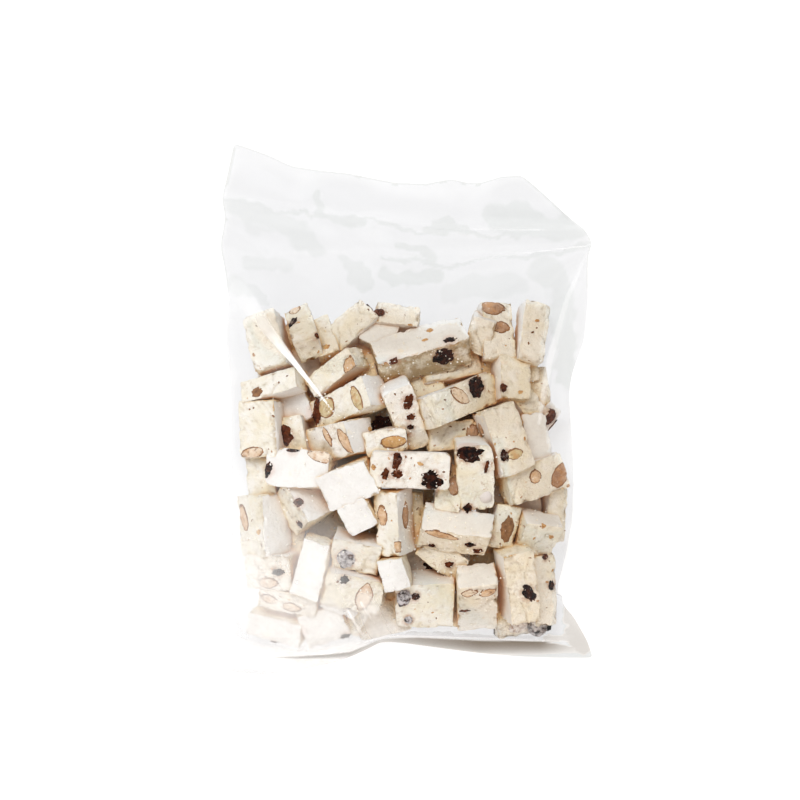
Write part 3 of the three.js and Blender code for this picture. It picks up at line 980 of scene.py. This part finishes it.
for piece in nougat_pieces:
    points = np.empty(len(piece.data.vertices) * 3)
    piece.data.vertices.foreach_get("co", points)
    points = points.reshape(-1, 3)
    stain = np.zeros(len(points))
    for middle, radius in berry_places:
        away = np.linalg.norm(points - np.array(middle), axis=1)
        stain = np.maximum(stain, np.clip(1 - (away - radius) / BLEED, 0, 1))
    piece.data.attributes["stain"].data.foreach_set("value", stain)

# ---------------------------------------------------------------------------------------------------
# Crumbs of sugar and starch that came off the pieces when they were cut and packed. They are loose,
# and cling to the pieces under the film.
# Middle x, y and spread (mm) of each patch, and how many crumbs lie in it.

CRUMB_PATCHES = [
    (-9, -3, 9, 90), (2, -54, 11, 100), (12, -92, 12, 100), (34, -90, 10, 70), (-22, 26, 22, 150),
    (30, 30, 18, 90), (60, -60, 20, 110), (-60, -30, 40, 110), (40, -120, 30, 120), (0, 0, 80, 200),
    (0, -90, 70, 200),
]
crumb_draw = random.Random(9)
crumb_forms = []
for x, y, spread, number in CRUMB_PATCHES:
    for _ in range(number):
        start = Vector((crumb_draw.gauss(x, spread) * MM, crumb_draw.gauss(y, spread) * MM, OVER_THE_BAG))
        place, outward, _, _ = nougat_tree.ray_cast(start, DOWN)
        if place is None:
            continue
        crumb = bmesh.new()
        radius = crumb_draw.uniform(0.42, 0.84) ** 2 * MM
        bmesh.ops.create_icosphere(crumb, subdivisions=1, radius=radius)
        for v in crumb.verts:
            v.co *= 1 + crumb_draw.uniform(-0.35, 0.35)
        bmesh.ops.translate(crumb, vec=place + outward * radius * 0.6, verts=crumb.verts)
        crumb_forms.append(crumb)

lump_place, lump_out, _, _ = nougat_tree.ray_cast(Vector((48 * MM, -53 * MM, OVER_THE_BAG)), DOWN)
lump = bmesh.new()  # one duller lump of sugar stands out of a piece
tone = lump.verts.layers.float.new("tone")
bmesh.ops.create_icosphere(lump, subdivisions=3, radius=4.4 * MM)
for v in lump.verts:
    v.co *= 1 + 0.12 * noise.noise(v.co * 300)
    v[tone] = 1
bmesh.ops.translate(lump, vec=lump_place - lump_out * 2 * MM, verts=lump.verts)
crumb_forms.append(lump)


def sugar_crumb():
    """White sugar and starch, duller on the lump."""
    finish = Finish("sugar_crumb", Roughness=0.45)
    finish.body = finish.mix(finish.grain(300, 0.4, 0.6), (0.96, 0.95, 0.92), (0.90, 0.85, 0.76))
    finish.coat((0.72, 0.66, 0.64), finish.painted("tone"))
    return finish.done(finish.grain(2500, 0.3, 0.7), 0.0002, 0.6)


crumbs = new_piece("sugar_crumbs", joined(crumb_forms), "rice_paper", sugar_crumb())

# ---------------------------------------------------------------------------------------------------
# The bag: one tube of clear film, sealed across the bottom and the top, drawn tight over the nougat
# and lying in loose folds where it is empty.

FILM_GAP = 0.7 * MM  # from the nougat to the film that lies on it
TIGHTEN = 130  # rounds of drawing the film tight
FILLED = (-138 * MM, 94 * MM)  # from where to where, in y, the film is drawn tight
EMPTY_FROM, ALL_EMPTY = 70 * MM, 100 * MM  # where, in y, the film starts to lie loose and all lies so
HALF_LENGTH = 164.4 * MM  # of the whole bag
FILMS_MEET = 98 * MM  # above this, in y, the two films lie close together
NO_MORE_SIDES = 72 * MM  # above this, in y, no piece reaches the bag's sides
OFF_THE_TABLE = 0.2 * MM
FARTHEST_OUT = 5 * MM  # how far a piece may push the film out at the bag's sides
RIM_FACE = 8e-6  # square metres: the upright faces of the bag's free edges are smaller than this
LOOSE_BELOW = 9 * MM  # film that lies lower than this isn't drawn tight
# Folds of the film: points x, y along the fold, half width and height (mm; less than 0 is a valley).
FRONT_FOLDS = [
    ([(113, 112), (83, 111), (46, 110), (14, 113), (-66, 124), (-115, 131)], 4, 2.6),
    ([(115, 103), (83, 98), (46, 92), (14, 91), (-17, 95)], 5, 2.4),
    ([(-109, 121), (-85, 109), (-57, 92)], 9, -2.4),
    ([(-60, 131), (-48, 124), (-34, 115)], 7, -2.2),
    ([(54, 121), (108, 124)], 9, -2.0),
    ([(17, 117), (28, 113)], 6, -1.6),
    ([(-15, 84), (18, 78)], 9, -1.8),
    ([(-100, 90), (-73, 88)], 7, 1.8),
    ([(-36, 92), (-24, 78)], 7, 1.6),
    ([(114, 100), (104, 78), (95, 62), (88, 30), (85, 4)], 6, 2.6),
    ([(-98, 70), (-74, 36), (-44, -1)], 5, 1.4),
    ([(-14, -143), (-22, -130), (-29, -118)], 4, 1.6),
    ([(-24, -147), (-34, -134), (-44, -122)], 4, 1.2),
    ([(112, 100), (82, 85), (54, 72)], 3, 1.3),
    ([(112, 100), (92, 80), (77, 64)], 3, 1.2),
    ([(-112, 113), (-84, 94), (-62, 82)], 4, 1.3),
    ([(-110, 98), (-94, 82), (-82, 62)], 4, 1.2),
    ([(100, 52), (104, 20), (98, -20)], 5, 1.6),
    ([(-107, 60), (-104, 20), (-106, -30), (-103, -80)], 5, 1.4),
]
BACK_FOLDS = [
    ([(-90, 150), (-30, 118), (60, 122)], 8, 1.4),
    ([(-80, 100), (10, 106), (90, 92)], 7, 1.3),
    ([(20, 138), (60, 110), (100, 106)], 6, 1.2),
]


def film_form():
    """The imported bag's skin as quads, with its free edges kept sharp."""
    form = bag_form.copy()
    form.normal_update()
    crease = form.edges.layers.float.new("crease_edge")
    rim = {f for f in form.faces if f.calc_area() < RIM_FACE and abs(f.normal.z) < 0.5}
    for edge in form.edges:
        if len({f in rim for f in edge.link_faces}) == 2:
            edge[crease] = 1
    bmesh.ops.join_triangles(form, faces=form.faces, cmp_sharp=True, angle_face_threshold=1.0,
                             angle_shape_threshold=1.0)
    return form


cage = bpy.data.objects.new("film_cage", made_mesh("film_cage", film_form()))
bpy.context.scene.collection.objects.link(cage)
smoother = cage.modifiers.new("smooth", "SUBSURF")
smoother.levels = smoother.render_levels = 2
film_skin = bpy.data.meshes.new_from_object(cage.evaluated_get(bpy.context.evaluated_depsgraph_get()))
bpy.data.objects.remove(cage)

contents = bmesh.new()
for part in (*nougat_pieces, almonds, berries, crumbs):
    contents.from_mesh(part.data)
contents_tree = BVHTree.FromBMesh(contents)

count = len(film_skin.vertices)
film_points = np.empty(count * 3)
film_skin.vertices.foreach_get("co", film_points)
film_points = film_points.reshape(-1, 3)
film_edges = np.empty(len(film_skin.edges) * 2, int)
film_skin.edges.foreach_get("vertices", film_edges)
film_edges = film_edges.reshape(-1, 2)
neighbours = np.bincount(film_edges.ravel(), minlength=count)


def beside(values, how=np.add):
    """For each film point, its neighbours' values added up, or the highest of them."""
    total = np.zeros(count) if how is np.add else values.copy()
    how.at(total, film_edges[:, 0], values[film_edges[:, 1]])
    how.at(total, film_edges[:, 1], values[film_edges[:, 0]])
    return total


film_normals = np.empty(count * 3)
film_skin.vertices.foreach_get("normal", film_normals)
on_front = film_normals[2::3] > -0.02
lowest = np.full(count, -1.0)
for index, (x, y, z) in enumerate(film_points):
    hit = contents_tree.ray_cast(Vector((x, y, OVER_THE_BAG)), DOWN)[0]
    if hit:
        lowest[index] = hit.z + FILM_GAP
bare = np.where(lowest < 0, 1.0, 0.0)  # points with no food under them or beside them
for _ in range(2):
    lowest = beside(lowest, np.maximum)
    bare = beside(bare, np.maximum)
x, y, z = film_points.T.copy()
drawn = on_front & (z > LOOSE_BELOW) & (y > FILLED[0]) & (y < FILLED[1])
for _ in range(TIGHTEN):
    mean = beside(z) / neighbours
    z[drawn] = np.maximum(mean, lowest)[drawn]


def along(start, run, drift=0):
    """For each film point, how far along a stretch it lies (0 to 1) and how far away from it."""
    x, y = film_points[:, 0] + drift - start[0], film_points[:, 1] + drift - start[1]
    share = np.clip((x * run[0] + y * run[1]) / run.dot(run), 0, 1)
    return share, np.hypot(x - share * run[0], y - share * run[1])


def fold_shape(line, half_width, drift=0):
    """1 along a fold, falling smoothly to 0 at half its width away; drift shifts the points sideways."""
    line = np.array(line) * MM
    nearest = np.full(count, 1.0)
    for start, end in zip(line, line[1:]):
        nearest = np.minimum(nearest, along(start, end - start, drift)[1])
    rise = np.clip(1 - nearest / (half_width * MM), 0, 1)
    return rise * rise * (3 - 2 * rise)


# The empty top and the wings ripple on their own, the back film another way than the front one.
ripple, back_ripple = np.zeros(count), np.zeros(count)
for index in range(count):
    place = Vector((x[index] * 22, y[index] * 38, 0))
    ripple[index] = noise.noise(place) + 0.25 * noise.noise(place * 2.7) + 0.08 * noise.noise(place * 6)
    back_ripple[index] = noise.noise(place * 1.3 + Vector((5, 3, 7))) + 0.5
empty = np.clip((y - EMPTY_FROM) / (ALL_EMPTY - EMPTY_FROM), 0, 1)
free = np.clip((z - lowest) / (6 * MM), 0, 1)
from_rim = np.clip((HALF_LENGTH - np.abs(y)) / (8 * MM), 0, 1)
top = z + (1.5 * MM * empty * from_rim + 0.35 * MM * free) * ripple
for line, half_width, height in FRONT_FOLDS:
    top = top + fold_shape(line, half_width) * height * MM * (0.35 + 0.65 * free)
bottom = z + 0.9 * MM * empty * np.maximum(back_ripple, 0)
for line, half_width, height in BACK_FOLDS:
    bottom = bottom + fold_shape(line, half_width) * height * MM
back = np.where(y > FILMS_MEET, np.minimum(bottom, z + 2.2 * MM), z)
z = np.maximum(np.where(on_front, np.maximum(top, lowest), back), 0)
film_points = np.stack([x, y, z], axis=1)

# Where the nougat comes through at the sides, the film is carried out with it.
outwards = np.zeros((count, 3))
carried = np.zeros(count)
for index in range(count):
    point = Vector(film_points[index])
    outwards[index] = bag_tree.find_nearest(point)[1]
    outward = Vector(outwards[index])
    if y[index] > NO_MORE_SIDES or outward.z > 0.8 or outward.z < -0.5:
        continue
    away = contents_tree.ray_cast(point + outward * FARTHEST_OUT, -outward, FARTHEST_OUT + FILM_GAP)[3]
    if away is not None:
        carried[index] = FARTHEST_OUT - away + FILM_GAP
for _ in range(2):
    carried = beside(carried, np.maximum)
for _ in range(4):
    carried = np.maximum(carried, 0.5 * carried + 0.5 * beside(carried) / neighbours)
film_points += outwards * carried[:, None]
film_points[:, 2] = np.maximum(film_points[:, 2], OFF_THE_TABLE)
film_skin.vertices.foreach_set("co", film_points.ravel())
for polygon in film_skin.polygons:
    polygon.use_smooth = True

# Where the film is whiter: a faint haze in it, and painted light where the left and lower left of the
# bag and the left end of its seal look brighter. Points x, y, half width (mm) and how white.
HAZE_AND_LIGHT = [
    ([(-104, 72), (-94, 52), (-80, 30)], 13, 0.12),
    ([(-96, -104), (-60, -146)], 60, 0.47),
    ([(-60, -92), (-45, -140)], 40, 0.39),
    ([(-26, -116), (-16, -138)], 15, 0.45),
    ([(-104, -50), (-104, -120)], 30, 0.24),
    ([(-60, -40), (-75, -75)], 30, 0.14),
    ([(-112, -150), (-70, -154), (-30, -152)], 17, 1.0),
]
# Painted shade that greys the film a little: painted darker reflections in patches of its empty top,
# darker lines along its creases, and painted shade on its wings beside the food.
SHADE_PATCHES = [
    ([(-108, 124), (-88, 121), (-68, 112), (-58, 100)], 12, 0.08),
    ([(-96, 114), (-76, 112)], 7, 0.05),
    ([(-57, 131), (-50, 122), (-38, 118), (-30, 115)], 6, 0.11),
    ([(16, 114), (36, 111)], 6, 0.11),
    ([(56, 122), (74, 116), (104, 113)], 15, 0.10),
    ([(95, 62), (97, 20)], 13, 0.12),
    ([(-2, 104), (6, 97), (16, 94)], 6, 0.11),
    ([(-14, 84), (4, 80), (20, 84)], 8, 0.11),
    ([(-98, 92), (-74, 89)], 8, 0.07),
    ([(-40, 92), (-30, 82), (-26, 76)], 8, 0.09),
    ([(-106, 80), (-96, 72), (-88, 66)], 7, 0.08),
    ([(86, 88), (98, 62)], 15, 0.09),
    ([(30, 74), (70, 78)], 12, 0.06),
    ([(102, -125), (105, -134), (109, -146)], 11, 0.36),
    ([(88, -140.5), (100, -140)], 5, 0.34),
    ([(-114, 129.4), (-66, 123), (14, 112), (45, 109), (83, 110), (112, 111)], 2.0, 0.10),
    ([(-17, 93), (14, 90), (45, 91), (83, 97), (114, 101.6)], 2.0, 0.10),
]
# Painted shade, warm and a little grey, on the film over the upper, right and lower right parts of the
# food.
FOOD_SHADE = [
    ([(-70, 58), (0, 58), (82, 50)], 38, 0.31),
    ([(50, 8), (78, 6), (88, -50)], 36, 0.30),
    ([(30, -80), (80, -120)], 45, 0.20),
]
RIM_SHADE = 0.14  # how much greyer the film looks along its free edges
RIM = ((1.2 * MM, 0), (-1.2 * MM, 0), (0, 1.2 * MM), (0, -1.2 * MM))  # its width, felt four ways
RIM_ABOVE = 75 * MM  # where, in y, the free edges of the empty top begin
SEAL_EDGE = (-20 * MM, -142 * MM)  # and right of this x, below this y, those of the seal
# The shade under the contents' end of the bag: x, y of its upper edge, how dark it is and how far it
# reaches down (mm).
SEAL_SHADE = np.array([
    (-110, -153, 0.0, 1.5), (-91, -152.7, 0.10, 1.5), (-66, -152.3, 0.75, 2.4), (-35, -149.8, 0.60, 5.2),
    (-16, -141.5, 0.45, 6), (8, -140.6, 0.72, 9.5), (45, -142.6, 1.0, 11), (83, -142.8, 1.0, 10),
    (98, -145.5, 0.45, 7), (112, -149, 0.10, 5),
])
# Streaks of glare along tight folds: from x, y to x, y, half width and how white at both ends.
GLARE = [
    ((-104, 74), (-84, 48), 8.0, 4.2, 0.10, 0.34),
    ((-84, 48), (-68, 29), 4.2, 2.0, 0.34, 0.85),
    ((-68, 29), (-43, -2), 2.0, 0.5, 0.85, 0.66),
    ((112, 98), (99, 70), 1.2, 2.0, 0.08, 0.16),
    ((99, 70), (87, 30), 2.0, 3.0, 0.16, 0.22),
    ((87, 30), (80, -8), 3.0, 1.2, 0.22, 0.20),
    ((20, 112), (83, 112), 0.6, 0.8, 0.05, 0.25),
    ((40, 93), (114, 102), 0.6, 0.8, 0.05, 0.25),
    ((-28, -116), (-17, -134), 1.1, 1.4, 0.60, 0.40),
    ((-36, -121), (-27, -138), 1.1, 1.4, 0.60, 0.40),
    ((-107, -152), (-60, -151), 1.0, 1.1, 0.8, 0.8),
    ((-60, -151), (-14, -140), 1.1, 1.0, 0.8, 0.5),
    ((-14, -140), (44, -141.4), 1.0, 0.9, 0.5, 0.35),
    ((44, -141.4), (100, -143.5), 0.9, 0.8, 0.35, 0.2),
]
x, y = film_points[:, 0], film_points[:, 1]
haze_and_light, painted_shade = np.zeros(count), np.zeros(count)
wander = np.array([noise.noise(Vector((60 * u, 60 * v, 1))) for u, v in zip(x, y)]) * 5 * MM
wander += np.array([noise.noise(Vector((170 * u, 170 * v, 4))) for u, v in zip(x, y)]) * 2.5 * MM
for line, half_width, amount in HAZE_AND_LIGHT:
    haze_and_light = np.maximum(haze_and_light, fold_shape(line, half_width) * amount)
for line, half_width, amount in SHADE_PATCHES:
    painted_shade = np.maximum(painted_shade, np.clip(fold_shape(line, half_width * 0.7, wander) * 5, 0, 1) * amount)
for line, half_width, amount in FOOD_SHADE:
    painted_shade = np.maximum(painted_shade, np.clip(fold_shape(line, half_width) * 2, 0, 1) * amount * (1 - bare))
edge_x, edge_y, edge_dark, edge_reach = SEAL_SHADE.T
below = np.interp(x, edge_x * MM, edge_y * MM) - y
reach = np.interp(x, edge_x * MM, edge_reach * MM)
shadow = np.clip(1 - (below / reach) ** 2, 0, 1) * np.clip(below / (0.8 * MM), 0, 1)
shadow *= np.interp(x, edge_x * MM, edge_dark)
haze_and_light *= 1 - np.clip(shadow * 2.4, 0, 1)
# the painted shadow under the contents' end goes into the film's painted shade too
painted_shade = np.maximum(painted_shade, shadow)
for index in range(count):
    on_edge = y[index] > RIM_ABOVE or (x[index] > SEAL_EDGE[0] and y[index] < SEAL_EDGE[1])
    if on_edge and any(film_height(x[index] + dx, y[index] + dy) is None for dx, dy in RIM):
        painted_shade[index] = max(painted_shade[index], RIM_SHADE)
NO_GLARE = -3.0
glare, glare_white = np.full(count, NO_GLARE), np.zeros(count)
for start, end, wide, narrow, amount, last_amount in GLARE:
    start, end = np.array(start) * MM, np.array(end) * MM
    share, away = along(start, end - start)
    inside = 1 - away / ((wide + (narrow - wide) * share) * MM)
    glare_white = np.where(inside > glare, amount + (last_amount - amount) * share, glare_white)
    glare = np.maximum(inside, glare)
for name, values, on_back in (("veil", haze_and_light, 0.0), ("film_shade", painted_shade, 0.0), ("glare", glare, NO_GLARE),
                              ("glare_white", glare_white, 0.0)):
    layer = film_skin.attributes.new(name, "FLOAT", "POINT")
    layer.data.foreach_set("value", np.where(on_front, values, on_back))


def clear_film():
    """Clear film: most light passes straight through, the rest glances off or meets a faint haze. Painted
    shade, painted reflections, painted glare and painted light lie on it where its points say.
    """
    finish = Finish("clear_film", Roughness=0.5, Base_Color=(0.96, 0.97, 0.985, 1))

    def blended(factor, first, second):
        """Two shaders in one, all of the second where the factor is 1."""
        node = finish.add("ShaderNodeMixShader")
        for socket, source in zip(node.inputs, (factor, first, second)):
            finish.feed(socket, source)
        return node.outputs[0]

    clear = finish.add("ShaderNodeBsdfTransparent")
    # painted shade lets less light through the film: greenish grey for the painted reflections and crease
    # lines, warm over the food, dark brown in the painted shadow under the bag's end
    tints = ((0.0, (0.918, 0.921, 0.929)), (0.13, (0.834, 0.848, 0.842)),
             (0.20, (0.914, 0.890, 0.858)), (1.0, (0.29, 0.235, 0.18)))
    finish.feed(clear.inputs["Color"], finish.ramp(finish.painted("film_shade"), *tints))
    shine = finish.add("ShaderNodeBsdfGlossy")
    finish.feed(shine.inputs["Color"], (1, 1, 1))
    finish.feed(shine.inputs["Roughness"], 0.08)
    edge_on = finish.add("ShaderNodeLayerWeight")
    finish.feed(edge_on.inputs["Blend"], 0.5)
    glance = finish.math("POWER", edge_on.outputs["Facing"], 4.0)
    glancing = finish.math("MULTIPLY_ADD", glance, 0.5, 0.03)
    bare_film = blended(glancing, clear.outputs[0], shine.outputs[0])
    haze = finish.both(finish.grain(45, 0.3, 0.75, 4), 0.003)
    # haze, and painted light on the left and lower left, streaked by the grain
    haze_and_light_streaks = finish.both(finish.painted("veil"), finish.grain(60, -0.4, 0.7, 3))
    bright = finish.ramp(finish.painted("glare"), (0.0, 0.0), (0.3, 0.75), (0.9, 1.0))
    bright = finish.both(bright, finish.painted("glare_white"))
    white = finish.math("MAXIMUM", finish.math("ADD", haze, haze_and_light_streaks), bright)
    whole = blended(white, bare_film, finish.shader.outputs[0])
    finish.feed(finish.nodes["Material Output"].inputs["Surface"], whole)
    return finish.material


film = bpy.data.objects.new("film_bag", film_skin)
bpy.context.scene.collection.objects.link(film)
film_skin.materials.append(clear_film())
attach(film, "root")
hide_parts("bag")

# ---------------------------------------------------------------------------------------------------
# The studio: a white table, a large soft light above the bag's top left, a bright room that the film
# mirrors, and a camera that looks straight down on the bag.

floor_form = bmesh.new()
bmesh.ops.create_grid(floor_form, x_segments=2, y_segments=2, size=4)
table = bpy.data.objects.new("table", made_mesh("table", floor_form))
bpy.context.scene.collection.objects.link(table)
table_finish = Finish("white_table", Roughness=0.9, Base_Color=(0.3, 0.3, 0.3, 1),
                      Emission_Color=(1, 1, 1, 1), Emission_Strength=0.74)
table.data.materials.append(table_finish.material)

LIGHTS = [  # name, place, what it is aimed at, length and width (m), power (W), colour
    ("window", (-0.5, 1.2, 1.9), (0, 0, 0), (1.2, 0.8), 44.5, (0.97, 1.0, 1.0)),
    ("card", (-0.75, -0.8, 0.9), (-0.05, -0.08, 0), (0.7, 0.7), 5.5, (1.0, 0.94, 0.89)),
    ("second_card", (0.7, -0.9, 0.8), (0.05, -0.1, 0), (0.6, 0.6), 5, (1.0, 0.89, 0.79)),
]
for name, place, aim, size, power, colour in LIGHTS:
    light = bpy.data.lights.new(name, "AREA")
    light.shape = "RECTANGLE"
    light.size, light.size_y = size
    light.energy = power
    light.color = colour
    lamp = bpy.data.objects.new(name, light)
    lamp.location = place
    lamp.rotation_euler = (Vector(aim) - Vector(place)).to_track_quat("-Z", "Y").to_euler()
    lamp.visible_glossy = False
    bpy.context.scene.collection.objects.link(lamp)

# The room is a warm fill on the food, and in the film's mirror a white room with darker stretches.
world = bpy.data.worlds.new("studio")
bpy.context.scene.world = world
world.use_nodes = True
room, wires = world.node_tree.nodes, world.node_tree.links
fill = room["Background"]
fill.inputs["Color"].default_value = (1.0, 0.92, 0.85, 1)
fill.inputs["Strength"].default_value = 0.68
direction = room.new("ShaderNodeTexCoord").outputs["Generated"]
unevenness = room.new("ShaderNodeTexNoise")
unevenness.inputs["Scale"].default_value = 1.6
patches = room.new("ShaderNodeValToRGB")
for element, position, colour in zip(patches.color_ramp.elements, (0.35, 0.62),
                                     ((0.50, 0.51, 0.52, 1), (1.0, 1.02, 1.04, 1))):
    element.position = position
    element.color = colour
mirrored = room.new("ShaderNodeBackground")
split = room.new("ShaderNodeSeparateXYZ")
overhead = room.new("ShaderNodeMapRange")  # the dark ceiling over the camera
for socket, value in (("From Min", 0.62), ("From Max", 0.93), ("To Min", 0.62), ("To Max", 0.07)):
    overhead.inputs[socket].default_value = value
ray = room.new("ShaderNodeLightPath")
choose = room.new("ShaderNodeMixShader")
for source, target in ((direction, unevenness.inputs["Vector"]),
                       (unevenness.outputs["Fac"], patches.inputs["Fac"]),
                       (patches.outputs["Color"], mirrored.inputs["Color"]),
                       (direction, split.inputs[0]),
                       (split.outputs["Z"], overhead.inputs["Value"]),
                       (overhead.outputs["Result"], mirrored.inputs["Strength"]),
                       (ray.outputs["Is Diffuse Ray"], choose.inputs[0]),
                       (mirrored.outputs[0], choose.inputs[1]),
                       (fill.outputs[0], choose.inputs[2]),
                       (choose.outputs[0], room["World Output"].inputs["Surface"])):
    wires.new(source, target)

camera_data = bpy.data.cameras.new("camera")
camera_data.lens = 93.8
camera = bpy.data.objects.new("camera", camera_data)
camera.location = (-0.0042, 0.0064, 1.3)
bpy.context.scene.collection.objects.link(camera)
bpy.context.scene.camera = camera
bpy.context.scene.view_settings.view_transform = "Standard"
